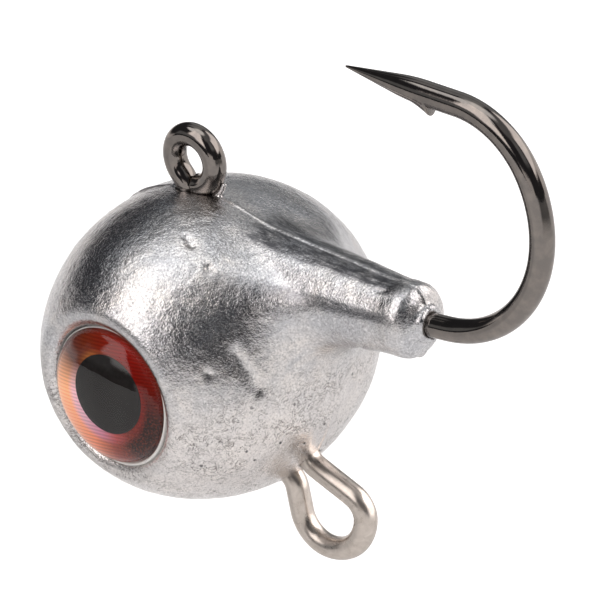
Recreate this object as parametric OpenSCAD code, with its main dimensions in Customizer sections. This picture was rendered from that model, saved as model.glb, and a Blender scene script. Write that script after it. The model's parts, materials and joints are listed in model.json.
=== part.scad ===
// Ball-head fishing jig: a cast lead ball with a bait-keeper collar, a jig hook
// and a wire assist loop cast into it, and two glued doll eyes.
// Origin: centre of the line eye's bore. +X: along the hook shank towards the bend.
// +Z: up, from the ball through the line eye. The fish eyes look out along -Y and +Y.
// The modules below are drawn round the ball's centre and moved to that origin at the end.

/* [Ball] */
// Diameter of the ball, up and down and fore and aft
ball_d = 34; // [33:0.5:36]
// Width of the ball from side to side, before the eye pockets
ball_w = 38.9; // [38:0.1:40]
// Straight facets used for the oval outline from pole to pole
ball_steps = 36; // [24:4:60]

/* [Bait-keeper collar] */
// Distance of the collar's end face from the ball's centre
collar_reach = 30.1; // [29:0.1:32]
// Radius of the collar at its end face
collar_end_r = 3.6; // [3.4:0.1:4]
// Growth of the collar's radius for each millimetre towards the ball
collar_taper = 0.11; // [0.08:0.01:0.13]
// Upward tilt of the collar as it nears the ball, in degrees
collar_tilt = 3.4; // [2:0.2:5]
// Bevel round the edge of the end face
collar_edge = 0.5; // [0.3:0.1:0.8]

/* [Hook] */
// Wire diameter of the hook
hook_wire_d = 2.5; // [2.3:0.1:2.6]
// Height of the shank above the ball's centre
shank_z = 7.35; // [7:0.05:8]
// Distance from the ball's centre to the start of the bend
bend_start_x = 33.55; // [33:0.05:36]
// Radius of the first, wider part of the bend
bend_r1 = 13.15; // [12.5:0.05:14]
// Angle turned by the first part of the bend
bend_a1 = 113; // [108:1:118]
// Radius of the second, tighter part of the bend
bend_r2 = 9.9; // [9:0.1:10.5]
// Angle turned by the second part of the bend
bend_a2 = 59; // [54:1:62]
// Straight full-thickness wire between the bend and the point
spear_l = 5.4; // [5:0.1:6]
// Length of the ground conical point
point_l = 8.6; // [8:0.1:10]
// Radius left at the very tip
tip_r = 0.12; // [0.1:0.01:0.2]
// How far the barb stands out below the wire
barb_h = 0.75; // [0.4:0.05:0.9]
// Distance from the base of the ground point back to the barb's tip
barb_back = 2.2; // [1.5:0.1:2.5]
// Length of the slope from the barb's tip to where it meets the ground point
barb_l = 6.2; // [5.5:0.1:6.5]
// Thickness of the barb across the wire
barb_t = 1; // [0.8:0.1:1.2]

/* [Line eye] */
// Bore of the ring, for the line or a snap
eye_bore = 3.2; // [3.2:0.05:3.4]
// Radius of the ring's wire centreline
ring_r = 2.8; // [2.8:0.05:2.9]
// Height of the ring's centre above the ball's centre
ring_z = 20.15; // [20:0.05:21]
// Distance of the ring's centre behind the ball's centre
ring_x = 1.05; // [0.9:0.05:1.3]
// Angle by which the wire leaves the ring before it turns down as the stem
neck_turn = 40; // [38:1:42]
// Radius of that last turn into the stem
neck_r = 2.7; // [2.6:0.1:3]
// How far the wire runs round the ring before its cut end
ring_wrap = 312; // [300:1:314]
// Radius of the right-angle bend from the stem to the shank, inside the lead
heel_r = 4.2; // [3.5:0.1:4.6]

/* [Assist loop] */
// Wire diameter of the loop
loop_wire_d = 2.5; // [2.3:0.1:2.6]
// Where the front leg meets the rounded bottom: distance behind the ball's centre
loop_x = 9.76; // [9.5:0.02:10]
// The same point's distance below the ball's centre
loop_z = 18.43; // [18.2:0.01:18.8]
// Lean of the front leg from the vertical
front_lean = 4.9; // [4:0.1:6]
// Radius of the first arc round the bottom of the loop, next to the front leg
loop_r1 = 3.75; // [3.5:0.05:4]
// Angle turned by the first arc
loop_a1 = 82.4; // [80:0.2:84]
// Radius of the second arc, behind the bottom
loop_r2 = 5.4; // [5.2:0.05:5.6]
// Angle turned by the second arc
loop_a2 = 81; // [79:0.2:83]
// Radius of the third arc, next to the rear leg
loop_r3 = 2.49; // [2.4:0.01:2.6]
// Angle turned by the third arc
loop_a3 = 76.2; // [75:0.2:77]
// Straight length of the front leg above the arcs
front_leg_l = 2.7; // [2.5:0.1:2.8]
// Straight length of the rear leg above the arcs
rear_leg_l = 5.2; // [5:0.1:5.3]
// Radius at which each tail splays inside the lead
tail_r = 2.2; // [2.1:0.1:2.4]
// Angle by which each tail splays
tail_turn = 56; // [50:1:60]
// Straight length at the end of each tail
tail_l = 6; // [4:0.5:7]

/* [Fish eyes] */
// Diameter of the clear lens, the foil and the adhesive
lens_d = 15; // [14.5:0.1:15]
// Diameter of the black pupil
pupil_d = 7.9; // [7.5:0.1:8.6]
// How far the pupil sits ahead of the eye's axis
pupil_fore = 0.2; // [0:0.1:0.4]
// How far the pupil sits above the eye's axis
pupil_up = 0.4; // [0:0.1:0.6]
// Height of the eye's axis below the ball's centre
eye_drop = 0.6; // [0:0.1:1]
// Distance from the mid-plane to the floor of the eye pocket
pocket_floor = 14.7; // [14.5:0.1:15]
// Gap all round between the lens and the pocket's wall
pocket_gap = 0.2; // [0.1:0.05:0.3]
// Thickness of the adhesive disc
glue_t = 0.2; // [0.1:0.05:0.3]
// Thickness of the iris foil
foil_t = 0.12; // [0.08:0.02:0.2]
// Thickness of the pupil's ink film
pupil_t = 0.06; // [0.04:0.02:0.1]
// Height of the lens's straight rim
rim_h = 0.7; // [0.5:0.1:0.9]
// Rise of the lens's dome above its rim
dome_h = 2.8; // [2.6:0.1:3]
// Height of the bevelled lip's lower edge above the pocket's floor
lip_rise = 0.5; // [0.4:0.1:0.7]
// Radius that the lip gains for each millimetre outwards
lip_open = 1; // [0.9:0.05:1.1]

/* [Hidden] */
$fn = 64;
// Radius of the ball and half its width
ball_r = ball_d / 2;
half_w = ball_w / 2;
// The collar runs this far into the ball before it ends
collar_run = 24;
collar_in_r = collar_end_r + collar_taper * collar_run;
// Straights reach this far into the bends, which are this much thicker
lap = 0.2;
bend_extra = 0.03;
// Short straight between one bend and the next
joiner = 0.1;
// The stem's axis follows from the ring, the joiner and the neck
stem_x = ring_x - ring_r + (ring_r + neck_r) * (1 - cos(neck_turn)) + joiner * sin(neck_turn);
stem_top_z = ring_z - (ring_r + neck_r) * sin(neck_turn) - joiner * cos(neck_turn);
stem_l = stem_top_z - shank_z - heel_r;
shank_l = bend_start_x - stem_x - heel_r;
// Depth and sphere radius of the lens's dome
dome_r = (lens_d * lens_d / 4 + dome_h * dome_h) / (2 * dome_h);
foil_base = pocket_floor + glue_t;
lens_base = foil_base + foil_t;
pocket_r = lens_d / 2 + pocket_gap;
// The lip's cone starts this much inside the pocket's wall, so that the two cross
lip_in = 0.1;
// The lip's cone runs on past the widest part of the ball
lip_h = half_w - pocket_floor - lip_rise;
// The barb is sunk this far into the wire, and its notch leans back by this much
barb_sink = 0.5;
notch_lean = 0.3;
// Radius of the ground point where the barb's slope runs out
slope_end_r = hook_wire_d / 2 - (hook_wire_d / 2 - tip_r) * (barb_l - barb_back) / point_l;

// ---------- wire running along +X, bent in the X-Z plane ----------

// Straight wire that reaches a little into both neighbours; children start at its end.
module run(l, d) {
    translate([-lap, 0, 0]) rotate([0, 90, 0]) cylinder(d = d, h = l + 2 * lap);
    translate([l, 0, 0]) children();
}

// Bend towards +Z, a hair thicker than the straights; children start at its end.
module bend_up(r, a, d) {
    translate([0, 0, r]) rotate([90, 90, 0])
        rotate_extrude(angle = a) translate([r, 0]) circle(d = d + bend_extra);
    translate([0, 0, r]) rotate([0, -a, 0]) translate([0, 0, -r]) children();
}

// Bend towards -Z; children start at its end.
module bend_down(r, a, d) {
    mirror([0, 0, 1]) bend_up(r, a, d) mirror([0, 0, 1]) children();
}

// ---------- cast lead ----------

// Oval of revolution about the side-to-side axis.
module ball() {
    side = [for (i = [1 : ball_steps - 1])
        let (a = -90 + 180 * i / ball_steps)
        [ball_r * cos(a), half_w * sin(a)]];
    rotate([90, 0, 0]) rotate_extrude()
        polygon(concat([[0, -half_w]], side, [[0, half_w]]));
}

// Tapered collar along the shank, from its end face into the ball.
module collar() {
    translate([collar_reach, 0, shank_z]) rotate([0, collar_tilt - 90, 0])
        rotate_extrude() polygon([
            [0, 0],
            [collar_end_r - collar_edge, 0],
            [collar_end_r, collar_edge],
            [collar_in_r, collar_run],
            [0, collar_run]
        ]);
}

// Pocket for one fish eye, opening towards -Y, with a bevelled lip.
module eye_pocket() {
    translate([0, -pocket_floor, -eye_drop]) rotate([90, 0, 0])
        cylinder(r = pocket_r, h = ball_w);
    translate([0, -pocket_floor - lip_rise, -eye_drop]) rotate([90, 0, 0])
        cylinder(r1 = pocket_r - lip_in * lip_open, r2 = pocket_r + lip_h * lip_open, h = lip_h + lip_in);
}

module lead_head() {
    color("darkgray") difference() {
        union() {
            ball();
            collar();
        }
        hook_wire();
        line_ring();
        loop_wire();
        eye_pocket();
        mirror([0, 1, 0]) eye_pocket();
    }
}

// ---------- hook ----------

// Ground point with a barb on the side that faces the shank.
module spear_point() {
    low = hook_wire_d / 2;
    rotate([0, 90, 0]) cylinder(r1 = low, r2 = tip_r, h = point_l);
    rotate([90, 0, 0]) linear_extrude(barb_t, center = true) polygon([
        [-barb_back - notch_lean, low - barb_sink],
        [-barb_back, low + barb_h],
        [barb_l - barb_back, slope_end_r - barb_sink / 4],
        [0, 0]
    ]);
}

// The stem, the heel, the shank and the bend, from the neck to the barb.
module hook_wire() {
    translate([stem_x, 0, stem_top_z]) rotate([0, 90, 0])
        run(stem_l, hook_wire_d)
        bend_up(heel_r, 90, hook_wire_d)
        run(shank_l, hook_wire_d);
}

// The open bend and the spear, from the end of the shank.
module hook_bend() {
    translate([bend_start_x, 0, shank_z])
        bend_up(bend_r1, bend_a1, hook_wire_d)
        run(joiner, hook_wire_d)
        bend_up(bend_r2, bend_a2, hook_wire_d)
        run(spear_l, hook_wire_d)
        spear_point();
}

// The neck and the ring, from the top of the stem up and round.
module line_ring() {
    translate([stem_x, 0, stem_top_z]) rotate([0, -90, 0])
        bend_up(neck_r, neck_turn, hook_wire_d)
        run(joiner, hook_wire_d)
        bend_down(ring_r, ring_wrap, hook_wire_d);
}

module jig_hook() {
    color("dimgray") difference() {
        union() {
            hook_wire();
            hook_bend();
            line_ring();
        }
        translate([ring_x, 0, ring_z]) rotate([90, 0, 0])
            cylinder(d = eye_bore, h = 2 * hook_wire_d, center = true);
    }
}

// ---------- assist loop ----------

// Rounded bottom and rear leg, then the tail that turns up.
module loop_round() {
    bend_up(loop_r1, loop_a1, loop_wire_d)
    run(joiner, loop_wire_d)
    bend_up(loop_r2, loop_a2, loop_wire_d)
    run(joiner, loop_wire_d)
    bend_up(loop_r3, loop_a3, loop_wire_d)
    run(rear_leg_l, loop_wire_d)
    bend_down(tail_r, tail_turn, loop_wire_d)
    run(tail_l, loop_wire_d);
}

// Front leg, then the tail that turns towards the front.
module loop_front() {
    run(front_leg_l, loop_wire_d)
    bend_up(tail_r, tail_turn, loop_wire_d)
    run(tail_l, loop_wire_d);
}

module loop_wire() {
    translate([loop_x, 0, -loop_z]) {
        rotate([0, 90 - front_lean, 0]) loop_round();
        rotate([0, -90 - front_lean, 0]) loop_front();
    }
}

module assist_loop() {
    color("silver") loop_wire();
}

// ---------- fish eyes, looking out along -Y ----------

// Round plate on the eye's axis, from depth y outwards.
module eye_disc(y, t, d) {
    translate([0, -y, -eye_drop]) rotate([90, 0, 0]) cylinder(d = d, h = t);
}

module eye_adhesive() {
    color("ivory") eye_disc(pocket_floor, glue_t, lens_d);
}

module eye_iris_foil() {
    color("orangered") eye_disc(foil_base, foil_t, lens_d);
}

// The pupil is printed a little ahead of and above the eye's axis.
module pupil_disc() {
    translate([pupil_fore, 0, pupil_up]) eye_disc(lens_base, pupil_t, pupil_d);
}

module eye_pupil() {
    color("black") pupil_disc();
}

module eye_lens() {
    color("lightblue", 0.5) difference() {
        intersection() {
            eye_disc(lens_base, rim_h + dome_h, lens_d);
            translate([0, dome_r - lens_base - rim_h - dome_h, -eye_drop]) sphere(r = dome_r, $fn = 240);
        }
        pupil_disc();
    }
}

module on_right() {
    mirror([0, 1, 0]) children();
}

// Moves a part from round the ball's centre to the origin in the line eye.
module placed() {
    translate([-ring_x, 0, -ring_z]) children();
}

module eye_adhesive_left() { eye_adhesive(); }
module eye_adhesive_right() { on_right() eye_adhesive(); }
module eye_iris_foil_left() { eye_iris_foil(); }
module eye_iris_foil_right() { on_right() eye_iris_foil(); }
module eye_pupil_left() { eye_pupil(); }
module eye_pupil_right() { on_right() eye_pupil(); }
module eye_lens_left() { eye_lens(); }
module eye_lens_right() { on_right() eye_lens(); }

placed() lead_head();
placed() jig_hook();
placed() assist_loop();
placed() eye_adhesive_left();
placed() eye_adhesive_right();
placed() eye_iris_foil_left();
placed() eye_iris_foil_right();
placed() eye_pupil_left();
placed() eye_pupil_right();
placed() eye_lens_left();
placed() eye_lens_right();
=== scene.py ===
"""Looks of the ball-head fishing jig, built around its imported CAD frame.

Lengths in this script are in millimetres from the ball's centre until a mesh is written. The axes
are the CAD's own: +X along the hook shank to the bend, +Z up to the line eye, the eyes on -Y and +Y.
"""
import json
import math

import bpy
import numpy as np
from mathutils import Matrix, Vector, noise


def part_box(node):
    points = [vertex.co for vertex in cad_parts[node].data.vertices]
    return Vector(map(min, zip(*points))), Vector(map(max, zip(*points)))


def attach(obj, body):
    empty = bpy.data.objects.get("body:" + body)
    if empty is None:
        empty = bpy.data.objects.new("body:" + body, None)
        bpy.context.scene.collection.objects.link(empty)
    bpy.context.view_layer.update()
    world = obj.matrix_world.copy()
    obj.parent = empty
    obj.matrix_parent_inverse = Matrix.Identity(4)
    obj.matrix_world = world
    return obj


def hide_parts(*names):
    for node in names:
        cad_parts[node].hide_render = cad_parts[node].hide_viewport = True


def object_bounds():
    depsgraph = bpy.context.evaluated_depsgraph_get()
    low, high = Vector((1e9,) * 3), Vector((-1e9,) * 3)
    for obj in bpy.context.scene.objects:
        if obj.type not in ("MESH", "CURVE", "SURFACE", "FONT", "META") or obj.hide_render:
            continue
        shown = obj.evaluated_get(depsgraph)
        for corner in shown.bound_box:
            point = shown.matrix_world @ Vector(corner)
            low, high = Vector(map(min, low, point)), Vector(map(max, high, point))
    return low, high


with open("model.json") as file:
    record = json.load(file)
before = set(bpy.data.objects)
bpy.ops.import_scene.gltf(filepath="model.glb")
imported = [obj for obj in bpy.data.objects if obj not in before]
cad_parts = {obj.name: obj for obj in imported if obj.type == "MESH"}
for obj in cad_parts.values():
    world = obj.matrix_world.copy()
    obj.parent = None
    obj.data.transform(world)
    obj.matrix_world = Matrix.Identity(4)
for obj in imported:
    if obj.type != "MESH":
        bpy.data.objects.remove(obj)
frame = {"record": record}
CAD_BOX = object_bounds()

MM = 0.001
LEFT, RIGHT = 1, -1          # the eye on -Y, and its mirror on +Y


# ---------------------------------------------------------------- sizes, from the frame

def ball_centre():
    """Centre of the lead ball in the CAD frame; the casting's height is the ball's diameter."""
    low, high = (np.array(corner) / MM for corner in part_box("lead_head"))
    radius = (high[2] - low[2]) / 2
    return np.array([low[0] + radius, 0, low[2] + radius])


BALL_CENTRE = ball_centre()


def box_mm(node):
    low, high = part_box(node)
    return np.array(low) / MM - BALL_CENTRE, np.array(high) / MM - BALL_CENTRE


def mount(name):
    return next(m for m in frame["record"]["mounts"] if m["name"] == name)


def mount_mm(name):
    return np.array(mount(name)["pos_m"]) / MM - BALL_CENTRE


HEAD_LOW, _ = box_mm("lead_head")
HOOK_LOW, HOOK_HIGH = box_mm("jig_hook")
LOOP_LOW, LOOP_HIGH = box_mm("assist_loop")
LENS_LOW, LENS_HIGH = box_mm("eye_lens_left")
FOIL_LOW, FOIL_HIGH = box_mm("eye_iris_foil_left")
PUPIL_LOW, PUPIL_HIGH = box_mm("eye_pupil_left")
GLUE_LOW, GLUE_HIGH = box_mm("eye_adhesive_left")

BALL_R = -HEAD_LOW[0]
BALL_STRETCH = 1.144                     # width over height; the pockets cut its widest points away
BALL_HALF_W = BALL_STRETCH * BALL_R
COLLAR_END = mount_mm("bait_keeper_collar")
COLLAR_END_R = 3.6
COLLAR_TAPER = 0.11
COLLAR_TILT = math.radians(3.4)
COLLAR_RUN = 24.0
COLLAR_EDGE = 0.8                        # softness of the edge round its end face
COLLAR_LIP_H, COLLAR_LIP_AT, COLLAR_LIP_L = 0.22, 1.2, 1.3
NOSE_H = 0.95                            # the end face swells round the wire
FILLET_SIDE, FILLET_TOP = 6.5, 1.5       # how softly the collar blends into the ball
TEAR_R, TEAR_T = 0.3, 0.34               # torn lip of lead round the wire: gap to the wire, and thickness
WEB_T, WEB_W, WEB_H = 0.32, 0.7, 1.2     # flash at the ring's foot: thickness, width, height above the ball
SEAM_H, SEAM_HALF_W = 0.2, 0.17

HOOK_R = (HOOK_HIGH[1] - HOOK_LOW[1]) / 2
RING_CENTRE = mount_mm("line_eye")
RING_R = mount("line_eye")["dims"]["r_mm"] + HOOK_R - 0.05   # the plating narrows the bore a little
RING_WRAP = 312
NECK_R = 2.7
NECK_TURN = 40
HEEL_R = 4.2
BEND_R1, BEND_TURN1 = 13.15, 113
BEND_R2, BEND_TURN2 = 9.9, 59
SPEAR_L = 14.1
BARB_AT = 10.8                           # distance of the barb's tip from the point
BARB_RISE_L = 2.1
BARB_H = 0.95
BARB_HALF_TURN = 0.62                    # how far the barb spreads round the wire, in radians
BARB_LEAN = 0.3
POINT_R = 0.1
POINT_TAPER = 0.139                      # radius gained for each millimetre back from the point
HOOK_BEVEL, LOOP_BEVEL = 0.09, 0.15      # rounding of the cut ends of the wires

LOOP_R = (LOOP_HIGH[1] - LOOP_LOW[1]) / 2
LOOP_MID = [(low + high) / 2 for low, high in zip(LOOP_LOW, LOOP_HIGH)]
LOOP_LEAN = 4.9
LOOP_BENDS = ((3.75, 82.4), (5.4, 81.0), (2.49, 76.2))
FRONT_LEG_L, REAR_LEG_L = 2.7, 5.2
TAIL_R, TAIL_TURN, TAIL_L = 2.2, 56, 6.0

EYE_Z = (LENS_LOW[2] + LENS_HIGH[2]) / 2
LENS_R = (LENS_HIGH[0] - LENS_LOW[0]) / 2
LENS_CROWN = -LENS_LOW[1]
LENS_SINK = 0.03                         # the resin wets the foil, so its back lies just inside it
LENS_RIM = 0.4125                        # height of the dome's foot above the lens's back
LENS_CORNER = 0.15
PUPIL_R = (PUPIL_HIGH[0] - PUPIL_LOW[0]) / 2
PUPIL_X = (PUPIL_HIGH[0] + PUPIL_LOW[0]) / 2
PUPIL_Z = (PUPIL_HIGH[2] + PUPIL_LOW[2]) / 2
POCKET_R = LENS_R + 0.28
POCKET_EDGE = 1.3                        # softness of the pocket's edges
BEAD_R, BEAD_H = 0.13, 0.75              # the adhesive squeezed out round the lens
POCKET_FLOOR = -GLUE_HIGH[1]
LIP_START = POCKET_FLOOR + 0.75          # the bevelled lip opens outwards from here


# ---------------------------------------------------------------- wire paths in the X-Z plane

def walk(start, heading, moves, step=0.25):
    """Points and headings (degrees) along straight runs ("run", length) and bends ("bend", radius, turn)."""
    x, z = start
    points, headings = [(x, z)], [heading]
    for move in moves:
        turn = move[2] if move[0] == "bend" else 0.0
        length = move[1] * math.radians(abs(turn)) if turn else move[1]
        count = max(2, round(length / step))
        for _ in range(count):
            middle = math.radians(heading + turn / count / 2)
            chord = length / count
            if turn:
                half = math.radians(abs(turn) / count) / 2
                chord *= math.sin(half) / half
            x += chord * math.cos(middle)
            z += chord * math.sin(middle)
            heading += turn / count
            points.append((x, z))
            headings.append(heading)
    return np.array(points), np.array(headings)


def join_paths(first, second):
    """One path that runs back along first and then out along second."""
    back_points, back_headings = first[0][::-1], first[1][::-1] + 180
    return (np.vstack([back_points[:-1], second[0]]), np.concatenate([back_headings[:-1], second[1]]))


def hook_path():
    """From the ring's cut end round the ring, down the stem, along the shank and round to the point."""
    turn = math.radians(NECK_TURN)
    stem_x = RING_CENTRE[0] - RING_R + (RING_R + NECK_R) * (1 - math.cos(turn))
    stem_top = RING_CENTRE[2] - (RING_R + NECK_R) * math.sin(turn)
    bend_start = HOOK_HIGH[0] - HOOK_R - BEND_R1
    shank_z = COLLAR_END[2]
    upward = walk((stem_x, stem_top), 90, [
        ("bend", NECK_R, NECK_TURN),
        ("bend", RING_R, -RING_WRAP),
    ], step=0.15)
    onward = walk((stem_x, stem_top), -90, [
        ("run", stem_top - shank_z - HEEL_R),
        ("bend", HEEL_R, 90),
        ("run", bend_start - stem_x - HEEL_R),
        ("bend", BEND_R1, BEND_TURN1),
        ("bend", BEND_R2, BEND_TURN2),
        ("run", SPEAR_L),
    ], step=0.15)
    return join_paths(upward, onward)


def loop_path():
    """From the front tail down the front leg, round the bottom and up the rear leg to its tail."""
    upward = walk((0, 0), 90 + LOOP_LEAN, [
        ("run", FRONT_LEG_L),
        ("bend", TAIL_R, TAIL_TURN),
        ("run", TAIL_L),
    ])
    onward = walk((0, 0), LOOP_LEAN - 90, [("bend", r, turn) for r, turn in LOOP_BENDS] + [
        ("run", REAR_LEG_L),
        ("bend", TAIL_R, -TAIL_TURN),
        ("run", TAIL_L),
    ])
    points, headings = join_paths(upward, onward)
    points += (LOOP_HIGH[0] - LOOP_R - points[:, 0].max(), LOOP_LOW[2] + LOOP_R - points[:, 1].min())
    return points, headings


HOOK_PATH = hook_path()
LOOP_PATH = loop_path()


# ---------------------------------------------------------------- mesh helpers

def new_piece(name, points, faces, material, slot, *nodes):
    """A smooth-shaded mesh in the row frame that stands for CAD nodes."""
    mesh = bpy.data.meshes.new(name)
    placed = (np.asarray(points, float) + BALL_CENTRE) * MM
    mesh.from_pydata([tuple(p) for p in placed], [], [tuple(f) for f in faces])
    mesh.validate()
    mesh.polygons.foreach_set("use_smooth", [True] * len(mesh.polygons))
    mesh.materials.append(material)
    piece = bpy.data.objects.new(name, mesh)
    bpy.context.scene.collection.objects.link(piece)
    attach(piece, "root")
    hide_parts(*nodes)
    return piece


def grid_faces(rings, sides):
    """Quads between rings of vertices, each ring closed on itself."""
    i, j = np.meshgrid(np.arange(rings - 1), np.arange(sides), indexing="ij")
    k = (j + 1) % sides
    quads = np.stack([i * sides + j, i * sides + k, (i + 1) * sides + k, (i + 1) * sides + j], -1)
    return quads.reshape(-1, 4).tolist()


def sweep(path, radius, sides=40, shift=None):
    """Closed tube along a path; radius and shift (along the path) are one value for each ring and side."""
    points, headings = path
    angle = np.radians(headings)
    along = np.stack([np.cos(angle), 0 * angle, np.sin(angle)], -1)
    left = np.stack([-np.sin(angle), 0 * angle, np.cos(angle)], -1)
    centre = np.stack([points[:, 0], 0 * angle, points[:, 1]], -1)
    phi = np.linspace(0, 2 * math.pi, sides, endpoint=False)
    radius = np.broadcast_to(np.asarray(radius, float).reshape(len(points), -1), (len(points), sides))
    across = np.cos(phi)[None, :, None] * left[:, None] + np.sin(phi)[None, :, None] * np.array([0, 1, 0])
    tube = centre[:, None] + radius[..., None] * across
    if shift is not None:
        tube = tube + shift[..., None] * along[:, None]
    rings = len(points)
    verts = np.vstack([tube.reshape(-1, 3), centre[:1], centre[-1:]])
    faces = grid_faces(rings, sides)
    first, last = rings * sides, rings * sides + 1
    for j in range(sides):
        k = (j + 1) % sides
        faces.append((first, k, j))
        faces.append((last, (rings - 1) * sides + j, (rings - 1) * sides + k))
    return verts, [face[::-1] for face in faces]


def round_last_end(points, headings, radius, bevel, out):
    """Rings that round off a tube's last end; out is -1 where the headings run inwards there."""
    steps = np.linspace(0, 0.5 * math.pi, 5)[1:]
    angle = math.radians(headings[-1])
    way = out * np.array([math.cos(angle), math.sin(angle)])
    keep = np.linalg.norm(points - points[-1], axis=1) > bevel
    keep[: len(points) // 2] = True
    extra = [points[-1] + way * bevel * (math.sin(a) - 1) for a in steps]
    size = [radius[-1] - bevel * (1 - math.cos(a)) for a in steps]
    turns = [headings[-1]] * len(steps)
    points = np.vstack([points[keep], extra])
    return points, np.concatenate([headings[keep], turns]), np.concatenate([radius[keep], size])


def round_ends(path, radius, bevel):
    """A tube's path and radii with both ends rounded off."""
    points, headings = path
    for out in (-1, 1):
        points, headings, radius = points[::-1], headings[::-1], radius[::-1]
        points, headings, radius = round_last_end(points, headings, radius, bevel, out)
    return (points, headings), radius


def lathe(profile, side, axis, sides=128):
    """Surface turned about an axis along Y at (x, z), from points (radius, distance off the mid-plane)."""
    profile = np.asarray(profile, float)
    phi = np.linspace(0, 2 * math.pi, sides, endpoint=False)
    x = profile[:, :1] * np.cos(phi) + axis[0]
    z = profile[:, :1] * np.sin(phi) + axis[1]
    y = -side * np.repeat(profile[:, 1:], sides, axis=1)
    verts = np.stack([x, y, z], -1).reshape(-1, 3)
    faces = grid_faces(len(profile), sides)
    poles = np.array([[axis[0], -side * profile[end, 1], axis[1]] for end in (0, -1)])
    low, high = len(verts), len(verts) + 1
    top = (len(profile) - 1) * sides
    for j in range(sides):
        k = (j + 1) % sides
        faces.append((low, k, j))
        faces.append((high, top + j, top + k))
    if side == RIGHT:
        faces = [f[::-1] for f in faces]
    return np.vstack([verts, poles]), faces


# ---------------------------------------------------------------- the lead casting as a distance field

def smooth_min(a, b, k):
    """The smaller of two distances, blended where they differ by less than k."""
    h = np.clip(0.5 + 0.5 * (b - a) / k, 0, 1)
    return b + (a - b) * h - k * h * (1 - h)


def smooth_max(a, b, k):
    return -smooth_min(-a, -b, k)


def smooth_step(low, high, v):
    t = np.clip((v - low) / (high - low), 0, 1)
    return t * t * (3 - 2 * t)


def length(*parts):
    return np.sqrt(sum(p * p for p in parts))


def ball_field(x, y, z):
    """Distance to the ball, which is wider than it is high."""
    a, b = 1 / BALL_R, 1 / BALL_HALF_W
    k0 = length(x * a, y * b, z * a)
    k1 = length(x * a * a, y * b * b, z * a * a)
    return k0 * (k0 - 1) / np.maximum(k1, 1e-6)


def collar_frame(x, y, z):
    """Distance in from the collar's end, distance off its axis, and how far round towards its top."""
    dx, dz = x - COLLAR_END[0], z - COLLAR_END[2]
    c, s = math.cos(COLLAR_TILT), math.sin(COLLAR_TILT)
    inward = -dx * c + dz * s
    up = dx * s + dz * c
    off = length(y, up)
    return inward, off, up / np.maximum(off, 1e-6)


def collar_field(x, y, z):
    """Tapered collar with a soft lip near its end and a swollen end face."""
    inward, off, _ = collar_frame(x, y, z)
    side = off - (COLLAR_END_R + COLLAR_TAPER * inward)
    lip = COLLAR_LIP_H * np.exp(-((inward - COLLAR_LIP_AT) / COLLAR_LIP_L) ** 2)
    nose = NOSE_H * np.clip(1 - (off / COLLAR_END_R) ** 2, 0, 1)
    body = smooth_max(side - lip, -inward - nose, COLLAR_EDGE)
    return np.maximum(body, inward - COLLAR_RUN)


def path_distance(path, x, y, z, reach):
    """Distance to a wire's centreline, worked out only within reach of the mid-plane."""
    out = np.full(x.shape, 10.0)
    near = np.abs(y) < reach
    px, pz = x[near], z[near]
    best = np.full(px.shape, 100.0)
    points = path[0]
    for (ax, az), (bx, bz) in zip(points[:-1], points[1:]):
        vx, vz = bx - ax, bz - az
        t = np.clip(((px - ax) * vx + (pz - az) * vz) / (vx * vx + vz * vz), 0, 1)
        best = np.minimum(best, (px - ax - t * vx) ** 2 + (pz - az - t * vz) ** 2)
    out[near] = np.sqrt(best + y[near] ** 2)
    return out


def pocket_field(x, y, z):
    """Both eye pockets: a round well outwards from its floor, with a bevelled lip."""
    wall = length(x, z - EYE_Z) - POCKET_R
    bevel = (wall + LIP_START - np.abs(y)) * math.sqrt(0.5)
    return np.maximum(np.minimum(wall, bevel), POCKET_FLOOR - np.abs(y))


def coarse(path, every):
    """A path with only some of its points, for distances."""
    points = path[0]
    return np.vstack([points[:-1:every], points[-1:]]), None


def head_field(x, y, z):
    """Signed distance of the casting, without the wires' sockets."""
    _, _, topness = collar_frame(x, y, z)
    blend = FILLET_SIDE - (FILLET_SIDE - FILLET_TOP) * smooth_step(0.15, 0.9, topness)
    body = smooth_min(ball_field(x, y, z), collar_field(x, y, z), blend)
    return smooth_max(body, -pocket_field(x, y, z), POCKET_EDGE)


def socket_field(x, y, z):
    """Signed distance of the wires that the lead was cast round."""
    reach = HOOK_R + 1
    hook = path_distance(coarse(HOOK_PATH, 4), x, y, z, reach) - HOOK_R
    loop = path_distance(coarse(LOOP_PATH, 3), x, y, z, reach) - LOOP_R
    return np.minimum(hook, loop)


def burr_field(x, y, z):
    """Raised lips of lead where the wires leave the casting."""
    off_shank = length(y, z - COLLAR_END[2])
    round_wire = np.arctan2(z - COLLAR_END[2], y)
    lip_t = TEAR_T + 0.1 * np.cos(round_wire - 2.6) + 0.05 * np.cos(5 * round_wire)
    exit_lip = length(off_shank - HOOK_R - TEAR_R, x - COLLAR_END[0] - NOSE_H - 0.1) - lip_t
    from_ring = length(x - RING_CENTRE[0], z - RING_CENTRE[2])
    web = np.maximum(np.abs(y) - WEB_T / 2, np.abs(from_ring - RING_R - HOOK_R - 0.15) - WEB_W / 2)
    web = np.maximum(web, z - BALL_R - WEB_H)
    return np.minimum(exit_lip, web)


def casting_field(x, y, z):
    """The whole casting with its burrs, cut out round the wires."""
    solid = smooth_min(head_field(x, y, z), burr_field(x, y, z), 0.5)
    return np.maximum(solid, -socket_field(x, y, z))


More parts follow.
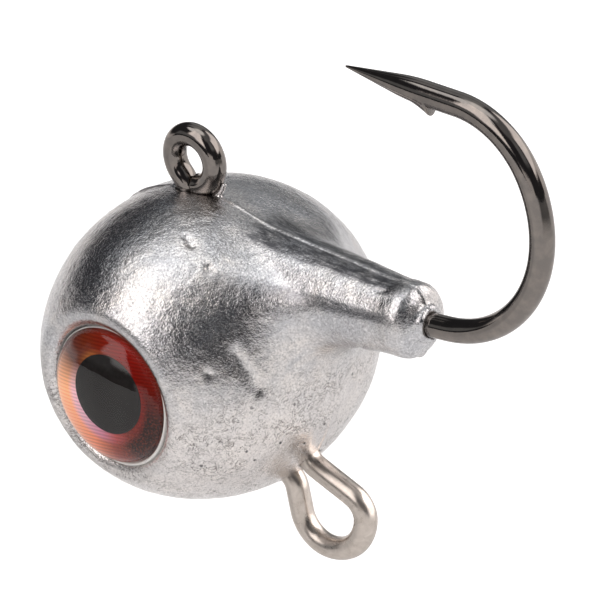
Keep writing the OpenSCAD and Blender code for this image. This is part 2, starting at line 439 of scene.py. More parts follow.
def surface_net(field, xs, ys, zs):
    """Quad mesh of field = 0 on a box grid, with one vertex in each cell that the surface crosses."""
    gx, gy, gz = np.meshgrid(xs, ys, zs, indexing="ij")
    f = field(gx, gy, gz).astype(np.float32)
    inside = f < 0
    axes = (xs, ys, zs)
    shape = tuple(n - 1 for n in f.shape)
    total = np.zeros(shape + (3,), np.float32)
    count = np.zeros(shape, np.float32)
    crossings = []
    for axis in range(3):
        low = [slice(None)] * 3
        high = [slice(None)] * 3
        low[axis], high[axis] = slice(None, -1), slice(1, None)
        a, b = f[tuple(low)], f[tuple(high)]
        cut = inside[tuple(low)] != inside[tuple(high)]
        crossings.append((cut, inside[tuple(low)]))
        where = np.argwhere(cut)
        t = a[cut] / (a[cut] - b[cut])
        spot = np.stack([axes[d][where[:, d]] for d in range(3)], -1)
        spot[:, axis] += t * (axes[axis][where[:, axis] + 1] - axes[axis][where[:, axis]])
        others = [d for d in range(3) if d != axis]
        for da in (0, 1):
            for db in (0, 1):
                cell = where.copy()
                cell[:, others[0]] -= da
                cell[:, others[1]] -= db
                good = np.all((cell >= 0) & (cell < shape), axis=1)
                c = tuple(cell[good].T)
                np.add.at(total, c, spot[good])
                np.add.at(count, c, 1)
    used = count > 0
    index = np.full(shape, -1, np.int64)
    index[used] = np.arange(used.sum())
    verts = total[used] / count[used][:, None]
    faces = []
    for axis in range(3):
        cut, below = crossings[axis]
        others = [(axis + 1) % 3, (axis + 2) % 3]
        where = np.argwhere(cut)
        corner = []
        for da, db in ((1, 1), (0, 1), (0, 0), (1, 0)):
            cell = where.copy()
            cell[:, others[0]] -= da
            cell[:, others[1]] -= db
            corner.append(index[tuple(cell.T)])
        quads = np.stack(corner, -1)
        flip = ~below[tuple(where.T)]
        quads[flip] = quads[flip][:, ::-1]
        faces.append(quads)
    return verts.astype(float), np.vstack(faces)


def settle_on(field, verts, rounds=6):
    """Moves vertices on to field = 0 along its gradient."""
    h = 0.02
    for _ in range(rounds):
        x, y, z = verts.T
        f = field(x, y, z)
        g = np.stack([
            field(x + h, y, z) - field(x - h, y, z),
            field(x, y + h, z) - field(x, y - h, z),
            field(x, y, z + h) - field(x, y, z - h),
        ], -1) / (2 * h)
        size = np.maximum((g * g).sum(1), 0.25)
        verts = verts - np.clip(f / size, -0.3, 0.3)[:, None] * g
    return verts


def gradient_normals(field, verts):
    """Unit vectors straight out of the surface."""
    h = 0.05
    x, y, z = verts.T
    g = np.stack([
        field(x + h, y, z) - field(x - h, y, z),
        field(x, y + h, z) - field(x, y - h, z),
        field(x, y, z + h) - field(x, y, z - h),
    ], -1)
    return g / np.maximum(np.linalg.norm(g, axis=1), 1e-9)[:, None]


def noise_at(verts, scale, seed):
    """Smooth noise from -1 to 1 at each vertex."""
    shift = Vector((seed * 17.3, seed * 5.1, seed * 9.7))
    return np.array([noise.noise(Vector(p) * scale + shift) for p in verts])


# dents and creases left by handling: start, end, half width and depth
DENTS = (
    ((13.8, -10.4, 4.8), (15.0, -9.0, 0.6), 0.75, 0.30),
    ((9.2, -8.0, 12.4), (9.3, -8.3, 11.7), 0.36, 0.36),
    ((5.5, -7.0, 14.9), (6.0, -7.1, 14.7), 0.28, 0.26),
    ((6.2, -7.4, 14.4), (6.7, -7.4, 14.2), 0.28, 0.26),
    ((12.0, -13.0, 3.5), (12.3, -12.9, 3.2), 0.3, 0.2),
    ((12.2, -12.6, -4.2), (12.3, -12.6, -4.4), 0.28, 0.3),
    ((17.4, 2.8, 0.3), (24.6, -3.1, 4.9), 0.3, 0.16),
    ((26.6, -2.2, 11.1), (27.4, -1.9, 11.2), 0.25, 0.25),
    ((14.2, -3.6, -7.6), (15.2, -3.4, -8.6), 0.9, 0.12),
)


def casting_relief(verts):
    """Height of the casting's uneven skin, seam and nicks above its ideal surface, in mm."""
    x, y, z = verts.T
    skin = 0.06 * noise_at(verts, 0.14, 1) + 0.03 * noise_at(verts, 0.45, 2) + 0.03 * noise_at(verts, 1.3, 3)
    seam = SEAM_H * np.exp(-np.abs(y / SEAM_HALF_W) ** 1.5) * (0.7 + 0.5 * noise_at(verts, 0.4, 4))
    relief = skin + seam
    for start, end, half_width, depth in DENTS:
        run = np.subtract(end, start)
        along = np.clip((verts - start) @ run / (run @ run), 0, 1)
        away = np.linalg.norm(verts - start - along[:, None] * run, axis=1)
        relief = relief - depth * np.exp(-(away / half_width) ** 2)
    return relief


def grid_lines(low, high, step):
    return np.linspace(low, high, max(2, round((high - low) / step) + 1))


def build_casting(material):
    """The ball and collar in one closed skin, with eye pockets and sockets for the wires."""
    step = 0.3
    side = BALL_HALF_W
    xs = grid_lines(-BALL_R - 0.8, COLLAR_END[0] + NOSE_H + 0.9, step)
    zs = grid_lines(-BALL_R - 0.8, BALL_R + 2.2, step)
    fine = grid_lines(-0.9, 0.9, step / 2.5)
    outer = grid_lines(0.9, side + 0.3, step)[1:]
    ys = np.concatenate([-outer[::-1], fine, outer])
    verts, faces = surface_net(casting_field, xs, ys, zs)
    verts = settle_on(casting_field, verts)
    normals = gradient_normals(casting_field, verts)
    skin = socket_field(*verts.T) > 0.25
    floor = pocket_field(*verts.T) < 0.3
    relief = casting_relief(verts) * skin * (1 - 0.7 * floor)
    verts = verts + relief[:, None] * normals
    return new_piece("lead_casting", verts, faces, material, "cast_lead", "lead_head")


# ---------------------------------------------------------------- wires

def to_last(points):
    """Distance along a path from each of its points to the last one."""
    travelled = np.concatenate([[0], np.cumsum(np.linalg.norm(np.diff(points, axis=0), axis=1))])
    return travelled[-1] - travelled


def build_hook(material):
    """Ring, stem, shank, bend, spear, barb and point in one wire."""
    sides = 48
    to_tip = to_last(HOOK_PATH[0])
    spear = POINT_R + POINT_TAPER * to_tip
    radius = smooth_min(np.full(len(to_tip), HOOK_R), spear, 0.25) + 0.03 * (to_tip > 12)
    path, radius = round_ends(HOOK_PATH, np.clip(radius, POINT_R, HOOK_R), HOOK_BEVEL)
    to_tip = to_last(path[0])
    phi = np.linspace(-math.pi, math.pi, sides, endpoint=False)
    under = np.exp(-(np.roll(phi, -sides // 2) / BARB_HALF_TURN) ** 2)
    rise = np.where(to_tip <= BARB_AT, np.clip(1 - (BARB_AT - to_tip) / BARB_RISE_L, 0, 1), 0) ** 1.25
    rows = radius[:, None] + BARB_H * rise[:, None] * under
    shift = -BARB_LEAN * rise[:, None] ** 2 * under
    verts, faces = sweep(path, rows, sides, shift)
    return new_piece("hook_wire", verts, faces, material, "black_nickel", "jig_hook")


def build_loop(material):
    """The bent stainless loop with both of its cast-in tails."""
    path, radius = round_ends(LOOP_PATH, np.full(len(LOOP_PATH[0]), LOOP_R), LOOP_BEVEL)
    verts, faces = sweep(path, radius, 40)
    return new_piece("loop_wire", verts, faces, material, "stainless_wire", "assist_loop")


# ---------------------------------------------------------------- eyes

def disc_profile(radius, low, high, edge):
    """Thin plate with rounded edges, from its inner face to its outer face."""
    turn = np.linspace(0, 0.5 * math.pi, 4)
    inner = [(radius - edge + edge * math.sin(a), low + edge - edge * math.cos(a)) for a in turn]
    outer = [(radius - edge + edge * math.cos(a), high - edge + edge * math.sin(a)) for a in turn]
    rings = [radius * f for f in (0.25, 0.5, 0.75)]
    return [(r, low) for r in rings] + inner + outer + [(r, high) for r in rings[::-1]]


def bead_profile(low, high):
    """Adhesive disc with the bead that it squeezes out round the lens's rim."""
    bead_top = high + BEAD_H
    turn = np.linspace(0, math.pi, 7)
    top = [(LENS_R + 0.01 + BEAD_R * (1 + math.cos(a)), bead_top + BEAD_R * math.sin(a)) for a in turn]
    outer = [(LENS_R + 0.2, low), (LENS_R + 0.26, low + 0.1)]
    inner = [(LENS_R + 0.01, high + 0.02), (LENS_R - 0.3, high), (0.5 * LENS_R, high), (0.2 * LENS_R, high)]
    return [(0.2 * LENS_R, low), (0.6 * LENS_R, low), (LENS_R, low)] + outer + top + inner


def lens_profile():
    """Flat back, short rim with soft corners and a poured dome."""
    back = -LENS_HIGH[1] - LENS_SINK
    foot = back + LENS_RIM
    points = [(LENS_R * f, back) for f in (0.2, 0.4, 0.6, 0.8, 0.93)]
    for a in np.linspace(0, 0.5 * math.pi, 5):
        points.append((LENS_R - LENS_CORNER * (1 - math.sin(a)), back + LENS_CORNER * (1 - math.cos(a))))
    for share in (np.linspace(0, 1, 34) ** 1.25)[1:-1]:
        a = share * 0.5 * math.pi
        points.append((LENS_R * math.cos(a) ** 0.9, foot + (LENS_CROWN - foot) * math.sin(a) ** 1.15))
    return points


def slump(verts):
    """Adhesive bead fuller at the eye's lower rear, where it ran before it set, and thin elsewhere."""
    x, y, z = verts[:, 0], verts[:, 1], verts[:, 2] - EYE_Z
    off = length(x, z)
    run = np.clip((x - z) / (off + 1e-6) * math.sqrt(0.5), 0, 1) ** 2
    bead = off > LENS_R
    wide = np.where(bead, LENS_R + (off - LENS_R) * (0.4 + 0.9 * run), off)
    high = -GLUE_LOW[1]
    ahead = np.clip((x + z) / (off + 1e-6) * math.sqrt(0.5), 0, 1) ** 2
    rise = 0.75 + 0.3 * run - 0.5 * ahead
    tall = np.where(np.abs(y) > high, high + (np.abs(y) - high) * rise, np.abs(y))
    grow = wide / (off + 1e-6)
    return np.stack([x * grow, np.sign(y) * tall, z * grow + EYE_Z], -1)


def build_eye(side, name, materials):
    """Adhesive, foil, pupil and lens of one fish eye."""
    glue = bead_profile(-GLUE_HIGH[1], -GLUE_LOW[1])
    foil = disc_profile(LENS_R - 0.02, -FOIL_HIGH[1], -FOIL_LOW[1], 0.03)
    pupil = disc_profile(PUPIL_R, -PUPIL_HIGH[1], -PUPIL_LOW[1], 0.02)
    stack = (
        ("eye_glue_", glue, "adhesive", "eye_adhesive_"),
        ("eye_foil_", foil, "iris_foil", "eye_iris_foil_"),
        ("eye_ink_", pupil, "pupil_ink", "eye_pupil_"),
        ("eye_dome_", lens_profile(), "clear_epoxy", "eye_lens_"),
    )
    for prefix, profile, slot, node in stack:
        axis = (PUPIL_X, PUPIL_Z) if prefix == "eye_ink_" else (0.0, EYE_Z)
        verts, faces = lathe(profile, side, axis)
        if prefix == "eye_glue_":
            verts = slump(verts)
        new_piece(prefix + name, verts, faces, materials[slot], slot, node + name)


# ---------------------------------------------------------------- material helpers

class Nodes:
    """Adds and links nodes in one tree."""

    def __init__(self, tree):
        self.tree = tree
        tree.nodes.clear()

    def add(self, kind, **settings):
        node = self.tree.nodes.new("ShaderNode" + kind)
        for key, value in settings.items():
            setattr(node, key, value)
        return node

    def put(self, socket, value):
        """Links a socket or sets a plain value; None leaves the input alone."""
        if isinstance(value, bpy.types.NodeSocket):
            self.tree.links.new(value, socket)
        elif value is not None:
            socket.default_value = value

    def math(self, operation, a, b=None, c=None):
        node = self.add("Math", operation=operation)
        for socket, value in zip(node.inputs, (a, b, c)):
            self.put(socket, value)
        return node.outputs[0]

    def product(self, *factors):
        total = factors[0]
        for factor in factors[1:]:
            total = self.math("MULTIPLY", total, factor)
        return total

    def split(self, vector):
        node = self.add("SeparateXYZ")
        self.put(node.inputs[0], vector)
        return node.outputs

    def turn(self, x, y):
        """Azimuth in degrees, 0 at -Y and 90 at +X."""
        return self.math("MULTIPLY", self.math("ARCTAN2", x, self.math("MULTIPLY", y, -1.0)), 180 / math.pi)

    def fade(self, value, start, end):
        """Smoothly 0 at start and 1 at end."""
        node = self.add("MapRange", interpolation_type="SMOOTHSTEP")
        self.put(node.inputs[0], value)
        node.inputs[1].default_value, node.inputs[2].default_value = start, end
        return node.outputs[0]

    def window(self, value, low, high, blur):
        """1 between low and high, and smoothly 0 outside them."""
        half = blur / 2
        rise = self.fade(value, low - half, low + half)
        return self.math("MULTIPLY", rise, self.fade(value, high + half, high - half))

    def mix(self, share, a, b):
        node = self.add("Mix", data_type="RGBA")
        self.put(node.inputs[0], share)
        for socket, colour in ((node.inputs[6], a), (node.inputs[7], b)):
            self.put(socket, (*colour, 1) if isinstance(colour, tuple) else colour)
        return node.outputs[2]


class Shader(Nodes):
    """Helper for one procedural material."""

    def __init__(self, name):
        self.material = bpy.data.materials.new(name)
        self.material.use_nodes = True
        super().__init__(self.material.node_tree)

    def place(self, stretch=(1, 1, 1)):
        """Position in millimetres from the ball's centre, times stretch."""
        node = self.add("Mapping")
        self.put(node.inputs["Vector"], self.add("TexCoord").outputs["Object"])
        node.inputs["Scale"].default_value = [k / MM for k in stretch]
        node.inputs["Location"].default_value = [-c * k for c, k in zip(BALL_CENTRE, stretch)]
        return node.outputs[0]

    def noise(self, where, scale=1.0, detail=3.0, rough=0.5, distort=0.0):
        node = self.add("TexNoise")
        self.put(node.inputs["Vector"], where)
        node.inputs["Scale"].default_value = scale
        node.inputs["Detail"].default_value = detail
        node.inputs["Roughness"].default_value = rough
        node.inputs["Distortion"].default_value = distort
        return node.outputs["Fac"]

    def spots(self, where, scale):
        """Distance to the nearest of many scattered points."""
        node = self.add("TexVoronoi")
        self.put(node.inputs["Vector"], where)
        node.inputs["Scale"].default_value = scale
        return node.outputs["Distance"]

    def ramp(self, value, *stops):
        """Colours or grey levels at positions from 0 to 1."""
        node = self.add("ValToRGB")
        self.put(node.inputs[0], value)
        elements = node.color_ramp.elements
        while len(elements) < len(stops):
            elements.new(0.5)
        for element, (at, colour) in zip(elements, stops):
            element.position = at
            element.color = (*colour, 1) if isinstance(colour, tuple) else (colour, colour, colour, 1)
        return node.outputs["Color"]

    def bump(self, height, distance, strength, normal=None):
        """distance in millimetres for a height of one."""
        node = self.add("Bump")
        node.inputs["Strength"].default_value = strength
        node.inputs["Distance"].default_value = distance * MM
        self.put(node.inputs["Height"], height)
        self.put(node.inputs["Normal"], normal)
        return node.outputs[0]

    def principled(self, **inputs):
        node = self.add("BsdfPrincipled")
        for key, value in inputs.items():
            self.put(node.inputs[key.replace("_", " ")], (*value, 1) if isinstance(value, tuple) else value)
        return node.outputs[0]

    def finish(self, shader):
        self.put(self.add("OutputMaterial").inputs["Surface"], shader)
        return self.material


# ---------------------------------------------------------------- materials

def lead_flaws(s, mm, low_down):
    """Worm-like pits and round specks on the ball's lower half."""
    worms = s.math("ABSOLUTE", s.math("SUBTRACT", s.noise(mm, 0.95, 3, 0.6, 1.1), 0.5))
    patchy = s.ramp(s.noise(mm, 0.3, 3, 0.6), (0.42, 0.0), (0.6, 1.0))
    pits = s.product(s.ramp(worms, (0.006, 1.0), (0.022, 0.0)), patchy, low_down)
    specks = s.product(s.ramp(s.spots(mm, 0.42), (0.05, 1.0), (0.085, 0.0)), low_down)
    return pits, specks


# bands of painted dark reflection on the collar, in degrees up from its sides' middle
STREAK_BAND = 61.0, 100.0
LINE_BAND = 12.0, 26.0


def collar_painted_reflection(s, mm):
    """Painted dark reflection: darker streaks along the collar's top, and a soft dark line along the middle
    of its sides.
    """
    x, y, z = s.split(mm)
    slope = math.tan(COLLAR_TILT)
    up = s.math("ADD", s.math("MULTIPLY_ADD", x, slope, -slope * float(COLLAR_END[0])),
                s.math("SUBTRACT", z, float(COLLAR_END[2])))
    side = s.math("ABSOLUTE", y)
    height = s.math("MULTIPLY", s.math("ARCTAN2", up, side), 180 / math.pi)
    streak = s.ramp(s.noise(s.place((0.35, 2.2, 2.2)), 1.0, 4, 0.65, 0.3), (0.4, 0.95), (0.66, 0.2))
    off_seam = s.ramp(s.math("MULTIPLY", side, 0.5), (0.1, 0.0), (0.2, 1.0))
    top = s.product(s.window(height, *STREAK_BAND, 10.0), streak, off_seam)
    line = s.product(s.window(height, *LINE_BAND, 8.0), 0.5)
    along = s.window(x, 9.5, float(COLLAR_END[0]) - 1.4, 3.0)
    return s.product(s.math("MAXIMUM", top, line), along)


def lead_colour(s, mm, blotch, grain, low_down, pits, specks):
    """Grey lead with a painted lighter, warmer reflection of the table on its lower half, crystal flecks,
    darker tarnish blotches, a painted dark reflection on the collar and dark pits.
    """
    patches = s.noise(mm, 0.17, 4, 0.55, 0.4)
    fleck = s.noise(mm, 4.6, 3, 0.68, 0.3)
    colour = s.mix(s.ramp(patches, (0.38, 0.0), (0.62, 1.0)), (0.57, 0.572, 0.59), (0.72, 0.69, 0.67))
    layers = (
        (s.ramp(blotch, (0.38, 0.45), (0.6, 0.0)), (0.37, 0.375, 0.40)),
        (s.ramp(grain, (0.36, 0.4), (0.48, 0.0)), (0.34, 0.33, 0.34)),
        # painted reflection: the lower half lighter and warmer, standing in for the warm white table that it
        # mirrors
        (s.product(low_down, 0.6), (0.80, 0.755, 0.73)),
        (s.ramp(fleck, (0.34, 0.6), (0.47, 0.0)), (0.27, 0.26, 0.265)),
        (s.ramp(fleck, (0.54, 0.0), (0.66, 0.5)), (0.95, 0.94, 0.93)),
        # painted dark reflection along the collar's top and sides, in near-black
        (collar_painted_reflection(s, mm), (0.09, 0.09, 0.10)),
        (s.product(pits, 0.8), (0.20, 0.18, 0.17)),
        (specks, (0.12, 0.12, 0.125)),
    )
    for share, tint in layers:
        colour = s.mix(share, colour, tint)
    return colour


def cast_lead():
    """Bare cast lead: bright crystalline grain, soft hammering, worm-like pits and a painted lighter, warmer
    reflection of the table on its lower half.
    """
    s = Shader("cast_lead")
    mm = s.place()
    blotch = s.noise(mm, 0.7, 5, 0.62, 0.6)
    grain = s.noise(mm, 3.4, 3, 0.62, 0.4)
    low_down = s.fade(s.split(mm)[2], 3.0, -5.0)
    pits, specks = lead_flaws(s, mm, low_down)
    rough = s.math("MULTIPLY_ADD", blotch, 0.18, 0.05)
    rough = s.math("MULTIPLY_ADD", pits, 0.2, rough)
    normal = s.bump(s.noise(mm, 1.25, 2, 0.5, 0.3), 0.05, 0.8)
    normal = s.bump(grain, 0.065, 0.8, normal)
    normal = s.bump(s.noise(mm, 8.0, 2, 0.6), 0.03, 0.8, normal)
    normal = s.bump(s.math("ADD", pits, specks), -0.12, 0.8, normal)
    colour = lead_colour(s, mm, blotch, grain, low_down, pits, specks)
    return s.finish(s.principled(Base_Color=colour, Metallic=1.0, Roughness=rough, Normal=normal))


def black_nickel():
    """Polished black nickel plate over drawn wire: near-mirror with faint drawing lines."""
    s = Shader("black_nickel")
    mm = s.place()
    wear = s.noise(mm, 0.9, 4, 0.6)
    fine = s.noise(mm, 7.0, 3, 0.5)
    colour = s.mix(s.ramp(wear, (0.4, 0.0), (0.75, 1.0)), (0.195, 0.178, 0.166), (0.26, 0.232, 0.21))
    rough = s.math("MULTIPLY_ADD", fine, 0.06, 0.05)
    normal = s.bump(fine, 0.006, 0.35)
    normal = s.bump(wear, 0.03, 0.25, normal)
    return s.finish(s.principled(Base_Color=colour, Metallic=1.0, Roughness=rough, Normal=normal))


def stainless_wire():
    """Drawn stainless wire with a warm cast, fine streaks and a few rub marks."""
    s = Shader("stainless_wire")
    mm = s.place()
    streak = s.noise(s.place((3.0, 9.0, 1.2)), 1.0, 4, 0.6, 0.2)
    rub = s.noise(mm, 0.8, 5, 0.65, 0.6)
    colour = s.mix(s.ramp(rub, (0.35, 0.0), (0.7, 1.0)), (0.48, 0.43, 0.385), (0.64, 0.58, 0.53))
    rough = s.math("MULTIPLY_ADD", rub, 0.12, 0.20)
    rough = s.math("MULTIPLY_ADD", streak, 0.06, rough)
    normal = s.bump(streak, 0.015, 0.3)
    normal = s.bump(rub, 0.03, 0.3, normal)
    return s.finish(s.principled(Base_Color=colour, Metallic=1.0, Roughness=rough, Normal=normal))


def adhesive():
    """Soft pressure-sensitive adhesive, slightly uneven."""
    s = Shader("adhesive")
    lumps = s.noise(s.place(), 2.5, 4, 0.6)
    colour = s.mix(lumps, (0.80, 0.79, 0.76), (0.97, 0.96, 0.94))
    normal = s.bump(lumps, 0.05, 0.5)
    return s.finish(s.principled(Base_Color=colour, Roughness=0.55, Normal=normal))


FOIL_PAINTED_GLOW = 0.45             # painted glow: the foil emits light in its own colours, so it reads brighter than its lighting makes it
FOIL_LINES = 0.87            # scale of the fine horizontal diffraction lines
# the foil's colours at shares of a turn, from -X round by -Z, +X and +Z back to -X
FOIL_INNER = (
    (0.0, (0.80, 0.45, 0.50)), (0.1, (0.62, 0.35, 0.42)), (0.2, (0.52, 0.20, 0.28)),
    (0.27, (0.38, 0.07, 0.07)), (0.34, (0.13, 0.012, 0.008)), (0.6, (0.2, 0.005, 0.002)),
    (0.74, (0.17, 0.02, 0.008)), (0.81, (0.30, 0.10, 0.02)), (0.88, (0.10, 0.03, 0.02)),
    (0.95, (0.55, 0.30, 0.28)), (1.0, (0.80, 0.45, 0.50)),
)
FOIL_MIDDLE = (
    (0.0, (0.93, 0.42, 0.20)), (0.08, (0.90, 0.35, 0.18)), (0.18, (0.75, 0.23, 0.12)),
    (0.25, (0.28, 0.055, 0.035)), (0.32, (0.02, 0.006, 0.005)), (0.45, (0.015, 0.004, 0.003)),
    (0.55, (0.13, 0.004, 0.001)), (0.68, (0.22, 0.004, 0.001)), (0.82, (0.12, 0.02, 0.005)),
    (0.89, (0.08, 0.035, 0.03)), (0.95, (0.58, 0.26, 0.13)), (1.0, (0.93, 0.42, 0.20)),
)
FOIL_OUTER = (
    (0.0, (0.40, 0.25, 0.17)), (0.1, (0.48, 0.29, 0.20)), (0.2, (0.42, 0.19, 0.12)),
    (0.28, (0.03, 0.015, 0.015)), (0.36, (0.008, 0.005, 0.005)), (0.48, (0.01, 0.004, 0.004)),
    (0.6, (0.12, 0.005, 0.002)), (0.74, (0.10, 0.005, 0.002)), (0.82, (0.035, 0.005, 0.002)),
    (0.9, (0.12, 0.07, 0.06)), (1.0, (0.40, 0.25, 0.17)),
)


def iris_foil():
    """Metallised orange film: fine diffraction lines, a pink inner edge, a dark outer edge and a painted
    glow in its own colours.
    """
    s = Shader("iris_foil")
    mm = s.place()
    x, _, z = s.split(mm)
    z = s.math("SUBTRACT", z, float(EYE_Z))
    away = s.math("SQRT", s.math("ADD", s.product(x, x), s.product(z, z)))
    band = s.math("DIVIDE", away, float(LENS_R))
    turn = s.math("MULTIPLY_ADD", s.math("ARCTAN2", z, x), 0.5 / math.pi, 0.5)
    inner_share = s.ramp(band, (0.56, 1.0), (0.65, 0.0))
    colour = s.mix(inner_share, s.ramp(turn, *FOIL_MIDDLE), s.ramp(turn, *FOIL_INNER))
    colour = s.mix(s.ramp(band, (0.83, 0.0), (0.93, 1.0)), colour, s.ramp(turn, *FOIL_OUTER))
    line = s.add("TexWave", wave_type="BANDS", bands_direction="Z", wave_profile="SIN")
    s.put(line.inputs["Vector"], mm)
    line.inputs["Scale"].default_value = FOIL_LINES
    line.inputs["Distortion"].default_value = 0.25
    colour = s.mix(s.product(line.outputs["Fac"], 0.3), colour, (0.0, 0.0, 0.0))
    speckle = s.ramp(s.noise(mm, 5.0, 3, 0.65), (0.50, 0.0), (0.66, 1.0))
    lower_right = s.ramp(turn, (0.18, 0.0), (0.27, 1.0), (0.45, 0.8), (0.6, 0.1))
    colour = s.mix(s.product(speckle, lower_right, 0.35), colour, (0.45, 0.07, 0.03))
    normal = s.bump(line.outputs["Fac"], 0.02, 0.4)
    # painted glow: the foil's colour is also emitted, though it is no lamp
    return s.finish(s.principled(Base_Color=colour, Metallic=0.95, Roughness=0.36, Normal=normal,
                                 Emission_Color=colour, Emission_Strength=FOIL_PAINTED_GLOW))


def pupil_ink():
    """Printed black with a faint mottling."""
    s = Shader("pupil_ink")
    mottle = s.noise(s.place(), 3.0, 4, 0.6)
    colour = s.mix(mottle, (0.012, 0.011, 0.011), (0.03, 0.027, 0.026))
    return s.finish(s.principled(Base_Color=colour, Roughness=0.6, Specular_IOR_Level=0.0))


def clear_epoxy():
    """Clear poured dome that lets light through to the foil."""
    s = Shader("clear_epoxy")
    ripple = s.noise(s.place(), 0.5, 2, 0.5)
    normal = s.bump(ripple, 0.05, 0.15)
    bsdf = s.principled(Base_Color=(1.0, 0.99, 0.98), Roughness=0.01, IOR=1.42,
                        Transmission_Weight=1.0, Normal=normal)
    clear = s.add("BsdfTransparent")
    clear.inputs["Color"].default_value = (0.95, 0.95, 0.94, 1)
    rays = s.add("LightPath")
    mixed = s.add("MixShader")
    s.put(mixed.inputs[0], rays.outputs["Is Shadow Ray"])
    s.put(mixed.inputs[1], bsdf)
    s.put(mixed.inputs[2], clear.outputs[0])
    return s.finish(mixed.outputs[0])


# ---------------------------------------------------------------- stage, light and camera

FLOOR_GAP = 16.0             # the jig hangs by its line eye, so the table is this far below it
FLOOR_SIZE = 4000.0
FLOOR_LIFT = 0.45            # light added to the table where the camera sees it, so that it stays white
FLOOR_SHEEN = 0.15           # and where the metal reflects it
NEAR_PAINTED_SHADOW = 0.3               # strength of the painted shadow on the near patch of the table, seen only in the metal's reflections

VIEW_AZIMUTH = math.radians(44.57)
VIEW_ELEVATION = math.radians(22.56)
VIEW_ROLL = math.radians(-7.39)
VIEW_DISTANCE = 349.8
VIEW_LENS = 194.5
AIM_RIGHT, AIM_UP = 9.82, 3.20


def white_sweep():
    """Matt white table; in what the metal reflects of it, a painted shadow darkens a near patch and painted
    shade darkens its far end.
    """
    s = Shader("white_sweep")
    mm = s.place()
    x, y, _ = s.split(mm)
    colour = s.mix(s.noise(mm, 0.02, 2, 0.5), (0.90, 0.90, 0.90), (0.94, 0.94, 0.94))
    turn = s.math("MULTIPLY_ADD", s.turn(x, y), 1 / 360, 0.5)
    metres = s.product(s.math("SQRT", s.math("ADD", s.product(x, x), s.product(y, y))), MM)
    rays = s.add("LightPath").outputs
    mirrored = s.math("SUBTRACT", 1.0, rays["Is Camera Ray"])
    # painted shadow on the table near the jig, seen only in reflections
    painted_near_shadow = s.product(s.ramp(turn, (0.21, 0.0), (0.26, 1.0), (0.41, 1.0), (0.46, 0.0)),
                           s.ramp(metres, (0.015, 0.0), (0.03, 1.0)), mirrored)
    colour = s.mix(s.product(painted_near_shadow, NEAR_PAINTED_SHADOW), colour, (0.1, 0.1, 0.1))
    # painted shade on the table's far end, seen only in reflections
    painted_far_shade = s.product(s.ramp(turn, (0.645, 0.0), (0.675, 1.0), (0.835, 1.0), (0.865, 0.0)),
                        s.ramp(metres, (0.15, 0.0), (0.3, 1.0)), mirrored)
    colour = s.mix(painted_far_shade, colour, (0.05, 0.05, 0.05))
    glow = s.add("Emission")
    lift = s.product(rays["Is Camera Ray"], FLOOR_LIFT)
    s.put(glow.inputs["Strength"], s.math("MULTIPLY_ADD", rays["Is Glossy Ray"], FLOOR_SHEEN, lift))
    total = s.add("AddShader")
    s.put(total.inputs[0], s.principled(Base_Color=colour, Roughness=0.8))
    s.put(total.inputs[1], glow.outputs[0])
    return s.finish(total.outputs[0])


def outwards(azimuth, elevation):
    """Unit vector at an azimuth (0 at -Y, 90 degrees at +X) and an elevation, both in radians."""
    flat = math.cos(elevation)
    return Vector((math.sin(azimuth) * flat, -math.cos(azimuth) * flat, math.sin(elevation)))


def build_floor():
    z = (CAD_BOX[0][2] / MM - FLOOR_GAP) * MM
    half = FLOOR_SIZE * MM / 2
    mesh = bpy.data.meshes.new("floor")
    corners = [(-half, -half, z), (half, -half, z), (half, half, z), (-half, half, z)]
    mesh.from_pydata(corners, [], [(0, 1, 2, 3)])
    mesh.materials.append(white_sweep())
    floor = bpy.data.objects.new("floor", mesh)
    bpy.context.scene.collection.objects.link(floor)


COOL, PLAIN, WARM = (0.96, 0.98, 1.0), (1.0, 1.0, 1.0), (1.0, 0.95, 0.93)
SKY_DARK = (0.05, 0.05, 0.055)
# azimuths, elevations, blur, brightness and tint of each panel; later panels cover earlier ones
SKY_PANELS = (
    ((-180, 180), (73, 100), 14, 1.85, PLAIN),
    ((40, 168), (50, 71), 10, 0.28, COOL),
    ((-175, -108), (48, 74), 14, 0.5, COOL),
    ((-181, -134), (-10, 46), 10, 0.48, COOL),
    ((-172, -136), (-9, 20), 8, 0.2, COOL),
    ((-85, 22), (54, 76), 8, 1.9, PLAIN),
    ((-34, 15), (18, 72), 9, 2.5, WARM),
    ((-60, -17), (8, 26), 8, 0.3, COOL),
    ((103, 180), (14, 51), 9, 2.5, WARM),
    ((58, 92), (25, 50), 12, 0.34, COOL),
    ((136, 184), (-6, 16), 8, 1.25, WARM),
    ((-136, -60), (-90, 7), 8, 1.0, WARM),
    ((14, 46), (-90, 8), 7, 1.0, WARM),
)


class Sky(Nodes):
    """The studio's brightness by azimuth and elevation, in degrees."""

    def __init__(self, tree):
        super().__init__(tree)
        x, y, z = self.split(self.add("TexCoord").outputs["Generated"])
        self.azimuth = self.turn(x, y)
        self.elevation = self.math("MULTIPLY", self.math("ARCSINE", z), 180 / math.pi)

    def panel(self, azimuths, elevations, blur):
        """1 inside a rectangle of the sky and 0 outside it."""
        middle, half = sum(azimuths) / 2, (azimuths[1] - azimuths[0]) / 2
        off = self.math("WRAP", self.math("SUBTRACT", self.azimuth, middle), 180.0, -180.0)
        across = self.fade(self.math("ABSOLUTE", off), half + blur / 2, half - blur / 2)
        return self.math("MULTIPLY", across, self.window(self.elevation, *elevations, blur))


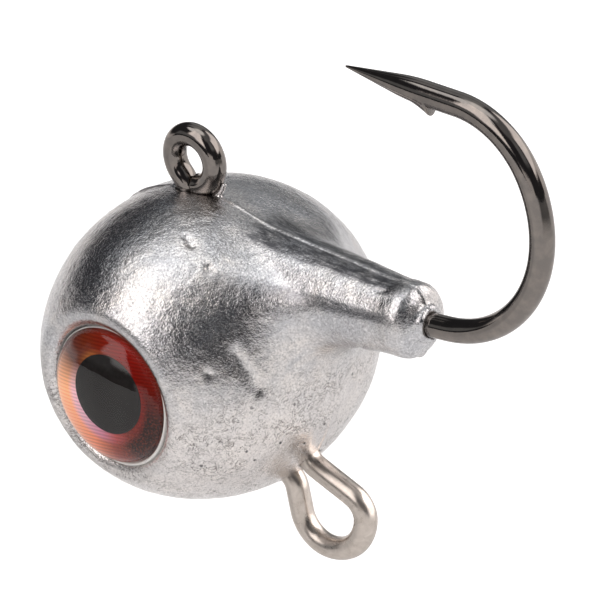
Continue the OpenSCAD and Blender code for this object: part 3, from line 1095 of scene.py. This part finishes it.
def build_card(piece, azimuth, elevation, away, size, brightness):
    """Reflector card that faces the assist loop and lights only that piece."""
    lamp = bpy.data.lights.new("loop_card", "AREA")
    lamp.shape = "RECTANGLE"
    lamp.size, lamp.size_y = size[0] * MM, size[1] * MM
    lamp.energy = brightness * math.pi * lamp.size * lamp.size_y
    lamp.color = WARM
    card = bpy.data.objects.new("loop_card", lamp)
    way = outwards(math.radians(azimuth), math.radians(elevation))
    card.location = (Vector(BALL_CENTRE) + Vector(LOOP_MID) + way * away) * MM
    card.rotation_euler = way.to_track_quat("Z", "Y").to_euler()
    card.visible_camera = False
    only = bpy.data.collections.new("loop_card_sees")
    only.objects.link(piece)
    card.light_linking.receiver_collection = only
    bpy.context.scene.collection.objects.link(card)


def build_world():
    """Light tent of soft panels; the camera itself sees plain white behind the jig."""
    world = bpy.data.worlds.new("studio")
    bpy.context.scene.world = world
    world.use_nodes = True
    sky = Sky(world.node_tree)
    seen = SKY_DARK
    for azimuths, elevations, blur, level, tint in SKY_PANELS:
        colour = tuple(level * t for t in tint)
        seen = sky.mix(sky.panel(azimuths, elevations, blur), seen, colour)
    inside = sky.add("Background")
    sky.put(inside.inputs["Color"], seen)
    plain = sky.add("Background")
    plain.inputs["Color"].default_value = (1, 1, 1, 1)
    rays = sky.add("LightPath")
    pick = sky.add("MixShader")
    sky.put(pick.inputs[0], rays.outputs["Is Camera Ray"])
    sky.put(pick.inputs[1], inside.outputs[0])
    sky.put(pick.inputs[2], plain.outputs[0])
    output = sky.add("OutputWorld")
    sky.put(output.inputs["Surface"], pick.outputs[0])


def build_camera():
    """The photograph's view: a long lens aimed a little to the right of and above the ball's centre."""
    back = outwards(VIEW_AZIMUTH, VIEW_ELEVATION)
    level = Vector((math.cos(VIEW_AZIMUTH), math.sin(VIEW_AZIMUTH), 0))
    upright = back.cross(level)
    right = math.cos(VIEW_ROLL) * level + math.sin(VIEW_ROLL) * upright
    up = math.cos(VIEW_ROLL) * upright - math.sin(VIEW_ROLL) * level
    aim = right * AIM_RIGHT + up * AIM_UP
    lens = bpy.data.cameras.new("camera")
    lens.lens = VIEW_LENS
    lens.sensor_width = 36
    lens.clip_start, lens.clip_end = 0.01, 20
    camera = bpy.data.objects.new("camera", lens)
    camera.matrix_world = Matrix((
        (right.x, up.x, back.x, 0), (right.y, up.y, back.y, 0), (right.z, up.z, back.z, 0), (0, 0, 0, 1)))
    camera.location = (aim + back * VIEW_DISTANCE + Vector(BALL_CENTRE)) * MM
    bpy.context.scene.collection.objects.link(camera)
    bpy.context.scene.camera = camera


# ---------------------------------------------------------------- build

eye_materials = {
    "adhesive": adhesive(),
    "iris_foil": iris_foil(),
    "pupil_ink": pupil_ink(),
    "clear_epoxy": clear_epoxy(),
}
build_casting(cast_lead())
build_hook(black_nickel())
loop_piece = build_loop(stainless_wire())
build_card(loop_piece, azimuth=126, elevation=16, away=88, size=(125, 95), brightness=1.9)
build_eye(LEFT, "left", eye_materials)
build_eye(RIGHT, "right", eye_materials)
build_floor()
build_world()
build_camera()
bpy.context.scene.view_settings.view_transform = "Standard"
